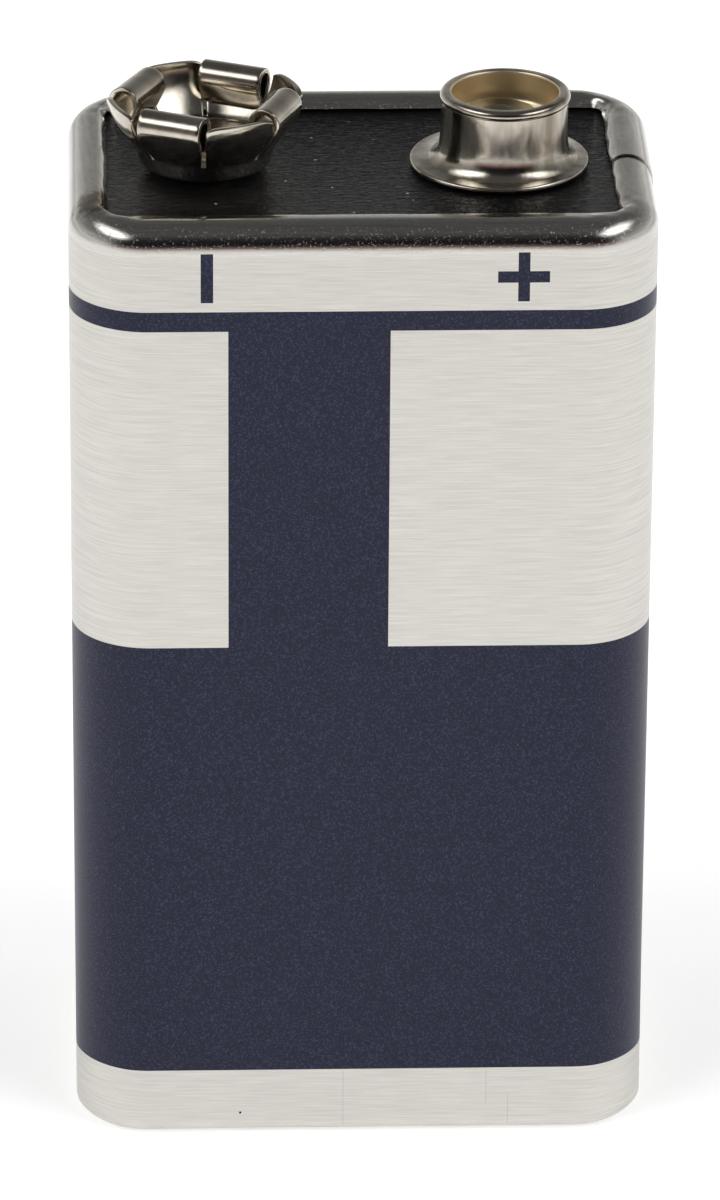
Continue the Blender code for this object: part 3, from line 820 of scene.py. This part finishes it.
def turned_piece(name: str, profile: np.ndarray, place: Triple, steps: int,
                 finish: Material, stands_for: str) -> Object:
    """Writes a profile turned about the vertical as a closed piece.

    Args:
        name: The piece's name.
        profile: Radius and height of each point, up the outside. It closes on itself, or on the axis
            where its ends lie there.
        place: Where the axis stands, and the height that the profile is measured from.
        steps: The number of steps in a turn.
        finish: Its material.
        stands_for: The CAD node that it replaces.

    Returns:
        The piece's object.
    """
    solid = bool(profile[0, 0] == 0.0)
    line = profile[1:-1] if solid else profile
    turn = np.linspace(0.0, 2.0 * math.pi, steps, endpoint=False)
    points = revolved(line, turn) + np.array(place)
    faces = grid_quads(len(line), steps, wrap_rows=not solid, wrap_columns=True).tolist()
    points = points.reshape(-1, 3)
    if solid:
        bottom, top = len(points), len(points) + 1
        poles = np.array([[0.0, 0.0, profile[0, 1]], [0.0, 0.0, profile[-1, 1]]]) + np.array(place)
        first = np.arange(steps)
        after = np.roll(first, -1)
        last = first + (len(line) - 1) * steps
        faces += np.stack([after, first, np.full(steps, bottom)], axis=-1).tolist()
        faces += np.stack([last, np.roll(last, -1), np.full(steps, top)], axis=-1).tolist()
        points = np.concatenate([points, poles])
    return write_piece(name, points, faces, finish, stands_for)


@dataclass
class SnapStud:
    """Positive terminal: one nickel-plated sheet, drawn up from its flange, over the lip and down its bore.

    The tube stands a little off the flange's middle and leans, as the real one was drawn.
    """

    centre_x: float = STUD_X
    height: float = 3.45
    radius: float = 2.87
    neck_radius: float = 2.79
    foot_radius: float = 3.3
    flare_height: float = 0.34
    bore_radius: float = 2.35
    bore_depth: float = 1.45
    lip: float = 0.24
    flange_radius: float = 3.96
    tube_offset: float = 0.17
    tube_blend: float = 0.5
    lean: float = 0.07
    rise_power: float = 1.6
    neck_top: float = 2.3
    steps: int = 144

    def profile(self) -> np.ndarray:
        """Section, up the outside: flange edge, flared foot, neck, lip, bore, floor and the underside.

        The foot and neck are one curve, whose radius falls to the neck's exponentially with height.
        The underside is the same curve, a sheet's thickness inside. The lip is a round bead.

        Returns:
            Radius and height of each point.
        """
        edge = TERMINAL_SHEET / 2
        foot = SEAT + TERMINAL_SHEET
        top = self.height
        floor = top - self.bore_depth
        under = floor - TERMINAL_SHEET
        rise = np.linspace(0.0, 1.0, 25) ** self.rise_power * (top - self.neck_top * self.lip - foot)
        within = np.linspace(1.0, 0.0, 12) * (under - foot)
        spread = self.foot_radius - self.neck_radius
        flare = self.neck_radius + spread * np.exp(-rise / self.flare_height)
        inner = self.neck_radius - TERMINAL_SHEET + spread * np.exp(-within / self.flare_height)
        outside = np.stack([flare, foot + rise], axis=-1)
        inside = np.stack([inner, SEAT + within], axis=-1)
        half_lip = self.lip / 2
        return np.concatenate([
            arc((self.flange_radius - edge, SEAT + edge), (edge, edge), -90, 90, 8),
            outside,
            arc((self.radius - self.lip, top - self.lip), (self.lip, self.lip), -50, 90, 14),
            arc((self.bore_radius + half_lip, top - half_lip), (half_lip, half_lip), 90, 180, 6),
            arc((self.bore_radius - self.lip, floor + self.lip), (self.lip, self.lip), 0, -90, 8),
            [(RIVET_HOLE_RADIUS, floor), (RIVET_HOLE_RADIUS, under)],
            inside])

    def build(self, finish: Material) -> Object:
        """Makes the stud from its profile, then shifts and leans its tube.

        Args:
            finish: The nickel plate.

        Returns:
            The stud's object.
        """
        place = (self.centre_x, 0.0, BOARD_TOP)
        piece = turned_piece("snap_stud", self.profile(), place, self.steps, finish,
                             "positive_stud")
        points = np.empty(len(piece.data.vertices) * 3)
        piece.data.vertices.foreach_get("co", points)
        points = points.reshape(-1, 3)
        radius = np.hypot(points[:, 0] / MM - self.centre_x, points[:, 1] / MM)
        rise = (points[:, 2] / MM - BOARD_TOP) / self.height
        tube = smooth_step((self.flange_radius - radius) / self.tube_blend)
        points[:, 0] += (self.tube_offset * tube + self.lean * rise) * MM
        piece.data.vertices.foreach_set("co", points.ravel())
        piece.data.update()
        return piece


@dataclass
class SnapSocket:
    """Negative terminal: a pressed bowl cut into eight petals, every second one rolled inwards."""

    centre_x: float = SOCKET_X
    height: float = 3.58
    floor_radius: float = 2.3
    bend_height: float = 0.55
    bend_share: float = 0.85
    slot_height: float = 1.1
    slot_radius: float = 3.1
    slot_width: float = 3.4
    plain_radius: float = 4.25
    plain_height: float = 3.33
    plain_flatness: float = 0.25
    plain_corner: float = 0.16
    corner_power: int = 6
    rolled_radius: float = 4.02
    rolled_bulge: float = 0.08
    rolled_width: float = 42.5
    rolled_angles: tuple[float, ...] = (66.0, 154.0, 245.0, 338.0)
    roll_radius: float = 0.72
    roll_tail: float = 0.85
    roll_start: float = -25.0
    roll_end: float = 205.0
    edge_round: float = 0.05
    across: int = 16
    bowl_steps: int = 10
    wall_steps: int = 10
    roll_steps: int = 32
    tail_steps: int = 5

    def petals(self) -> list[tuple[float, float, Petal]]:
        """Lists the petals: the plain ones fill the gaps between the rolled ones, less a slot on each side.

        Returns:
            Middle angle and width of each petal in degrees, and its kind.
        """
        after = self.rolled_angles[1:] + (self.rolled_angles[0] + 360.0,)
        listed = []
        for angle, following in zip(self.rolled_angles, after):
            gap = following - angle - self.rolled_width
            listed += [(angle, self.rolled_width, Petal.ROLLED),
                       ((angle + following) / 2, gap - 2 * self.slot_width, Petal.PLAIN)]
        return listed

    def bowl_line(self) -> np.ndarray:
        """Section from the floor's hole, round an elliptical bend, to the slots' root.

        Returns:
            Radius and height of each point.
        """
        bend = (self.slot_radius - self.floor_radius) * self.bend_share
        turn = arc((self.floor_radius, SEAT + self.bend_height), (bend, self.bend_height), 270, 345,
                   self.bowl_steps)
        root = (self.slot_radius, self.slot_height)
        rest = turn[-1] + np.linspace(0.0, 1.0, 5)[1:, None] * (np.array(root) - turn[-1])
        return np.concatenate([[(RIVET_HOLE_RADIUS, SEAT)], turn, rest])

    def petal_line(self, kind: Petal) -> np.ndarray:
        """Radius, height and flatness along a petal, above the slots' root.

        A plain petal flares along a quarter sine. A rolled one rises straight, turns inwards on a
        circle and comes down in a straight tail that points back at its own wall.

        Args:
            kind: Whether the petal is plain or rolled.

        Returns:
            An array of one row for each step along the petal.
        """
        steps = self.wall_steps + self.roll_steps + self.tail_steps
        if kind is Petal.PLAIN:
            share = np.linspace(0.0, 1.0, steps + 1)[1:]
            radius = self.slot_radius + (self.plain_radius - self.slot_radius) * np.sin(share * math.pi / 2)
            height = self.slot_height + (self.plain_height - self.slot_height) * share
            return np.stack([radius, height, self.plain_flatness * share], axis=-1)
        centre = (self.rolled_radius - self.roll_radius, self.height - self.roll_radius)
        roll = arc(centre, (self.roll_radius, self.roll_radius), self.roll_start, self.roll_end,
                   self.roll_steps)
        share = np.linspace(0.0, 1.0, self.wall_steps + 1)[1:-1]
        root = np.array((self.slot_radius, self.slot_height))
        bulge = self.rolled_bulge * np.sin(share * math.pi)
        wall = root + share[:, None] * (roll[0] - root) + np.stack([bulge, np.zeros_like(bulge)], axis=-1)
        way = math.radians(self.roll_end)
        tail_way = np.array((-math.sin(way), math.cos(way)))
        tail = roll[-1] + np.linspace(0.0, 1.0, self.tail_steps + 1)[1:, None] * self.roll_tail * tail_way
        line = np.concatenate([wall, roll, tail])
        flatness = np.ones(len(line))
        flatness[:len(share)] = smooth_step(share)
        return np.concatenate([line, flatness[:, None]], axis=-1)

    def petal_surface(self, kind: Petal, middle: float, offset: np.ndarray) -> np.ndarray:
        """Points of a petal: bent round the bowl at its root and flat across where its flatness is 1.

        Each point lies at its line's radius, less the round's bulge, along the petal's middle, and at
        the radius times the sine of its offset across it.

        Args:
            kind: Whether the petal is plain or rolled.
            middle: The angle of the petal's middle, in radians.
            offset: The angles across it, in radians.

        Returns:
            Points by rows along the petal and columns across it.
        """
        radius, height, flat = (column[:, None] for column in self.petal_line(kind).T)
        if kind is Petal.PLAIN:
            edge = np.abs(offset / offset[-1])[None, :] ** self.corner_power
            share = (height - self.slot_height) / (self.plain_height - self.slot_height)
            height = height - self.plain_corner * edge * smooth_step(share)
        reach = radius * (1.0 - flat) + (self.rolled_radius if kind is Petal.ROLLED else radius) * flat
        along = radius + reach * (np.cos(offset) - 1.0) * (1.0 - flat)
        across = reach * np.sin(offset)
        return np.stack([along * math.cos(middle) - across * math.sin(middle),
                         along * math.sin(middle) + across * math.cos(middle),
                         np.broadcast_to(height, along.shape)], axis=-1)

    def build(self, finish: Material) -> Object:
        """Makes the socket: one round grid for the bowl, with a grid for each petal on its top row.

        Args:
            finish: The nickel plate.

        Returns:
            The socket's object.
        """
        petals = self.petals()
        spread = np.linspace(-0.5, 0.5, self.across + 1)
        offsets = [np.radians(width) * spread for _, width, _ in petals]
        turn = np.concatenate([math.radians(angle) + offset
                               for (angle, _, _), offset in zip(petals, offsets)])
        bowl_line = self.bowl_line()
        bowl = revolved(bowl_line, turn)
        flaps = np.concatenate([self.petal_surface(kind, math.radians(angle), offset)
                                for (angle, _, kind), offset in zip(petals, offsets)], axis=1)
        points = np.concatenate([bowl, flaps]) + np.array((self.centre_x, 0.0, BOARD_TOP))
        rows, columns = points.shape[:2]
        quads = grid_quads(rows, columns, wrap_columns=True).reshape(rows - 1, columns, 4)
        in_slot = np.zeros((rows - 1, columns), bool)
        in_slot[len(bowl_line) - 1:, self.across::self.across + 1] = True
        piece = write_piece("snap_socket", points, quads[~in_slot].tolist(), finish,
                            "negative_socket")
        solidify = piece.modifiers.new("sheet", "SOLIDIFY")
        solidify.thickness = TERMINAL_SHEET * MM
        solidify.use_even_offset = True
        solidify.use_quality_normals = True
        add_bevel(piece, self.edge_round)
        return piece


@dataclass
class Rivet:
    """Tubular rivet: a dished head on the terminal's floor and a clenched end under the tab."""

    name: str
    stands_for: str
    centre_x: float
    floor_top: float
    radius: float = 1.1
    head_radius: float = 1.7
    head: float = 0.35
    dimple_radius: float = 0.7
    dimple: float = 0.2
    clench_radius: float = 1.75
    clench_top: float = -1.65
    steps: int = 72

    def profile(self) -> np.ndarray:
        """Section from the axis below, up the shank and the head, to the axis in the dimple.

        The head's rim and the clenched end are quarter arcs, and the dimple is half a cosine wave.

        Returns:
            Radius and height of each point.
        """
        seat = self.floor_top + SEAT
        top = seat + self.head
        low = self.clench_top - self.head
        share = np.linspace(0.0, 1.0, 9)
        dish = np.stack([(self.dimple_radius + self.dimple) * (1.0 - share),
                         top - self.dimple * (1.0 - np.cos(share * math.pi)) / 2], axis=-1)
        return np.concatenate([
            [(0.0, low), (self.radius, low)],
            arc((self.radius, self.clench_top - self.head / 2),
                (self.clench_radius - self.radius, self.head / 2), -70, 90, 8),
            [(self.radius, self.clench_top), (self.radius, seat)],
            arc((self.head_radius - self.head / 2, seat + self.head / 2), (self.head / 2, self.head / 2),
                -90, 90, 10),
            dish])

    def build(self, finish: Material) -> Object:
        """Makes the rivet from its profile, in the given metal."""
        place = (self.centre_x, 0.0, BOARD_TOP)
        return turned_piece(self.name, self.profile(), place, self.steps, finish,
                            self.stands_for)


@dataclass
class InnerPack:
    """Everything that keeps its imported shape: boards, cards, cells, sleeves, washers, straps and tabs."""

    finishes: dict[Slot, Material]
    slots: dict[str, Slot] = field(default_factory=lambda: {
        "terminal_board": Slot.BOARD, "bottom_plate": Slot.BOARD, "top_insulator": Slot.CARD,
        "bottom_insulator": Slot.CARD, "cell_washer": Slot.CARD, "cell_sleeve": Slot.FILM,
        "positive_tab": Slot.STRIP, "negative_tab": Slot.STRIP, "bottom_strap": Slot.STRIP,
        "top_strap": Slot.STRIP, "cell": Slot.CAN})

    def dress(self, nodes: dict[str, Object]) -> None:
        """Gives each shown node the finish of the longest name that it starts with.

        Args:
            nodes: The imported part's nodes by name.
        """
        for name, node in nodes.items():
            if node.hide_render:
                continue
            kind = max((start for start in self.slots if name.startswith(start)), key=len)
            for material_slot in node.material_slots:
                material_slot.material = self.finishes[self.slots[kind]]
            log.info("%s: %s", name, self.slots[kind].value)


# Studio


@dataclass
class Studio:
    """White table, two soft boxes, a soft fill from above and a camera with a long lens."""

    floor_size: float = 3.0
    floor_drop: float = 0.00002
    floor_colour: str = "#e8e8e8"
    floor_glow: float = 0.44
    glow_fade: Pair = (0.11, 0.45)
    front_levels: tuple[tuple[float, str], ...] = (
        (0.0, "#c4b8b4"), (0.09, "#8c6e6c"), (0.22, "#2a2426"), (0.4, "#17171b"), (0.75, "#2e2e32"),
        (0.95, "#525252"))
    back_levels: tuple[tuple[float, str], ...] = (
        (0.0, "#e6e6e6"), (0.2, "#b0b0ae"), (0.4, "#8c8c8a"), (0.62, "#5f6060"), (0.95, "#525252"))
    front_edge: Pair = (-0.35, -0.8)
    glow_way: Triple = (0.644, -0.26, 0.72)
    glow_stretch: Triple = (1.0, 0.5, 1.6)
    glow_edge: Pair = (0.05, 0.38)
    glow_level: float = 3.0
    box_place: Triple = (0.62, -0.42, 0.42)
    box_size: float = 0.62
    box_power: float = 3.1
    fill_place: Triple = (0.0, 0.25, 0.95)
    fill_size: float = 0.9
    fill_power: float = 1.6
    aim: Triple = (0.0, 0.0, 0.03)
    camera_place: Triple = (-0.011665, -0.324600, 0.172718)
    camera_yaw: float = -0.0362
    camera_pitch: float = 0.4326
    camera_roll: float = 0.0068
    focal_pixels: float = 7921.8
    sensor: float = 36.0

    def floor(self) -> None:
        """Adds the table: white to the eye and in metal, and still darker in the battery's shadow."""
        half = self.floor_size / 2
        mesh = bpy.data.meshes.new("table_top")
        corners = np.array([(-1, -1), (1, -1), (1, 1), (-1, 1)]) * half
        mesh.from_pydata([(x, y, -self.floor_drop) for x, y in corners.tolist()], [], [(0, 1, 2, 3)])
        material = bpy.data.materials.new("matt_white_table")
        material.use_nodes = True
        tree = material.node_tree
        tree.nodes.clear()
        path = add_node(tree, "LightPath").node.outputs
        seen = path["Is Camera Ray"]
        for ray in ("Is Glossy Ray", "Is Transmission Ray"):
            seen = add_node(tree, "Math", (seen, path[ray]), operation="ADD")
        place = add_node(tree, "TexCoord").node.outputs["Object"]
        away = add_node(tree, "VectorMath", (place,), operation="LENGTH")
        level = add_node(tree, "MapRange", (away, *self.glow_fade, self.floor_glow, 0.0),
                         interpolation_type="SMOOTHSTEP")
        light = add_node(tree, "Emission", {"Strength": overlap(tree, [seen, level])})
        matt = add_node(tree, "BsdfDiffuse", {"Color": linear(self.floor_colour)})
        both = add_node(tree, "AddShader", (matt, light))
        fill_inputs(tree, tree.nodes.new("ShaderNodeOutputMaterial"), {"Surface": both})
        mesh.materials.append(material)
        table = bpy.data.objects.new("table_top", mesh)
        bpy.context.scene.collection.objects.link(table)

    def world(self) -> None:
        """Adds the room: dark behind the camera, pale elsewhere, with a broad soft light on either side."""
        world = bpy.data.worlds.new("studio_room")
        world.use_nodes = True
        tree = world.node_tree
        way = add_node(tree, "TexCoord").node.outputs["Generated"]
        place = add_node(tree, "SeparateXYZ", (way,)).node.outputs
        front = add_node(tree, "MapRange", (place[1], *self.front_edge, 0.0, 1.0),
                         interpolation_type="SMOOTHSTEP")
        sides = []
        for stops in (self.back_levels, self.front_levels):
            ramp = add_node(tree, "ValToRGB", (place[2],))
            colours = ramp.node.color_ramp.elements
            while len(colours) < len(stops):
                colours.new(1.0)
            for element, (position, colour) in zip(colours, stops):
                element.position = position
                element.color = linear(colour)
            sides.append(ramp)
        room = blend(tree, front, *sides)
        across = add_node(tree, "Math", (place[0],), operation="ABSOLUTE")
        mirrored = add_node(tree, "CombineXYZ", (across, place[1], place[2]))
        apart = add_node(tree, "VectorMath", (mirrored, self.glow_way), operation="SUBTRACT")
        stretched = add_node(tree, "VectorMath", (apart, self.glow_stretch), operation="MULTIPLY")
        away = add_node(tree, "VectorMath", (stretched,), operation="LENGTH")
        glow = add_node(tree, "MapRange", (away, *self.glow_edge, self.glow_level, 0.0),
                        interpolation_type="SMOOTHSTEP")
        lit = add_node(tree, "VectorMath", (room, glow), operation="ADD")
        tree.links.new(lit, tree.nodes["Background"].inputs["Color"])
        bpy.context.scene.world = world

    def lamp(self, name: str, place: Triple, size: float, power: float) -> None:
        """Adds a square soft light that faces the battery; metal mirrors the room's soft lights instead.

        Args:
            name: The lamp's name.
            place: Its centre in metres.
            size: Its side in metres.
            power: Its power in watts.
        """
        light = bpy.data.lights.new(name, "AREA")
        light.shape = "SQUARE"
        light.size = size
        light.energy = power
        lamp = bpy.data.objects.new(name, light)
        lamp.location = place
        way = Vector(self.aim) - Vector(place)
        lamp.rotation_euler = way.to_track_quat("-Z", "Y").to_euler()
        lamp.visible_glossy = False
        bpy.context.scene.collection.objects.link(lamp)

    def camera(self) -> None:
        """Adds the camera: its forward, right and up directions come from its yaw, pitch and roll."""
        yaw, pitch, roll = self.camera_yaw, self.camera_pitch, self.camera_roll
        forward = Vector((-math.sin(yaw) * math.cos(pitch), math.cos(yaw) * math.cos(pitch),
                          -math.sin(pitch)))
        level = Vector((math.cos(yaw), math.sin(yaw), 0.0))
        upright = level.cross(forward)
        right = math.cos(roll) * level + math.sin(roll) * upright
        up = -math.sin(roll) * level + math.cos(roll) * upright
        data = bpy.data.cameras.new("camera")
        data.sensor_width = self.sensor
        data.lens = self.focal_pixels / max(IMAGE_WIDTH, IMAGE_HEIGHT) * self.sensor
        data.clip_start = 0.01
        camera = bpy.data.objects.new("camera", data)
        turned = Matrix((right, up, -forward)).transposed().to_4x4()
        camera.matrix_world = Matrix.Translation(self.camera_place) @ turned
        bpy.context.scene.collection.objects.link(camera)
        bpy.context.scene.camera = camera

    def build(self) -> None:
        """Adds the table, the room, the lamps and the camera."""
        self.floor()
        self.world()
        x, y, z = self.box_place
        self.lamp("left_box", (-x, y, z), self.box_size, self.box_power)
        self.lamp("right_box", (x, y, z), self.box_size, self.box_power)
        self.lamp("fill", self.fill_place, self.fill_size, self.fill_power)
        self.camera()
        bpy.context.scene.view_settings.view_transform = "Standard"
        log.info("studio: table, room, three lamps and camera")


def main() -> None:
    """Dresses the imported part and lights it."""
    logging.basicConfig(level=logging.INFO, format="%(name)s %(message)s")
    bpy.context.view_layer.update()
    # Plating over drawn steel: a warm silver mirror, a little cloudy.
    nickel = DrawnMetal("nickel_plated_drawn_steel", "#d0c9bc", "#aca396", 0.14)
    # The stud's plate is scuffed up its wall by the snap, and dull in the bore, where only the punch was;
    # the bore's bright cream colour is painted light that lifts it.
    # Its darker upright streaks are partly tarnish and partly painted reflection bands.
    stud_nickel = DrawnMetal("nickel_plated_drawn_stud", "#d8d1c4", "#857c6f", 0.15, mark_depth=0.007,
                             drawn=0.25, bore=(6.3, 2.42, 45.6))
    # Brass shows through its thin plate as a yellow cast.
    rivet_metal = DrawnMetal("nickel_plated_brass_rivet", "#c9bfa6", "#a4936f", 0.2).build()
    # Cold rolling leaves strip an even satin, and deep drawing leaves a can greyer and rougher.
    strip = DrawnMetal("cold_rolled_nickel_strip", "#bdb7ae", "#a49c90", 0.22)
    can = DrawnMetal("deep_drawn_steel_can", "#b4b4b2", "#8f8d88", 0.28)
    # Shrinking draws film into long faint streaks, and card is matt with short fibres.
    film = FibrousSheet("heat_shrunk_film", "#16362a", "#1e4435", 0.35, 0.6, 3.0, 0.004)
    card = FibrousSheet("pressed_fibre_card", "#a8966f", "#8b7a58", 0.85)
    Jacket().build(PrintedTinplate().build())
    SnapStud().build(stud_nickel.build())
    SnapSocket().build(nickel.build())
    Rivet("stud_rivet", "positive_rivet", STUD_X, 2.0).build(rivet_metal)
    Rivet("socket_rivet", "negative_rivet", SOCKET_X, 0.35).build(rivet_metal)
    InnerPack({Slot.BOARD: PressedBoard().build(), Slot.STRIP: strip.build(), Slot.CAN: can.build(),
               Slot.FILM: film.build(), Slot.CARD: card.build()}).dress(frame["nodes"])
    Studio().build()


if __name__ == "__main__":
    main()
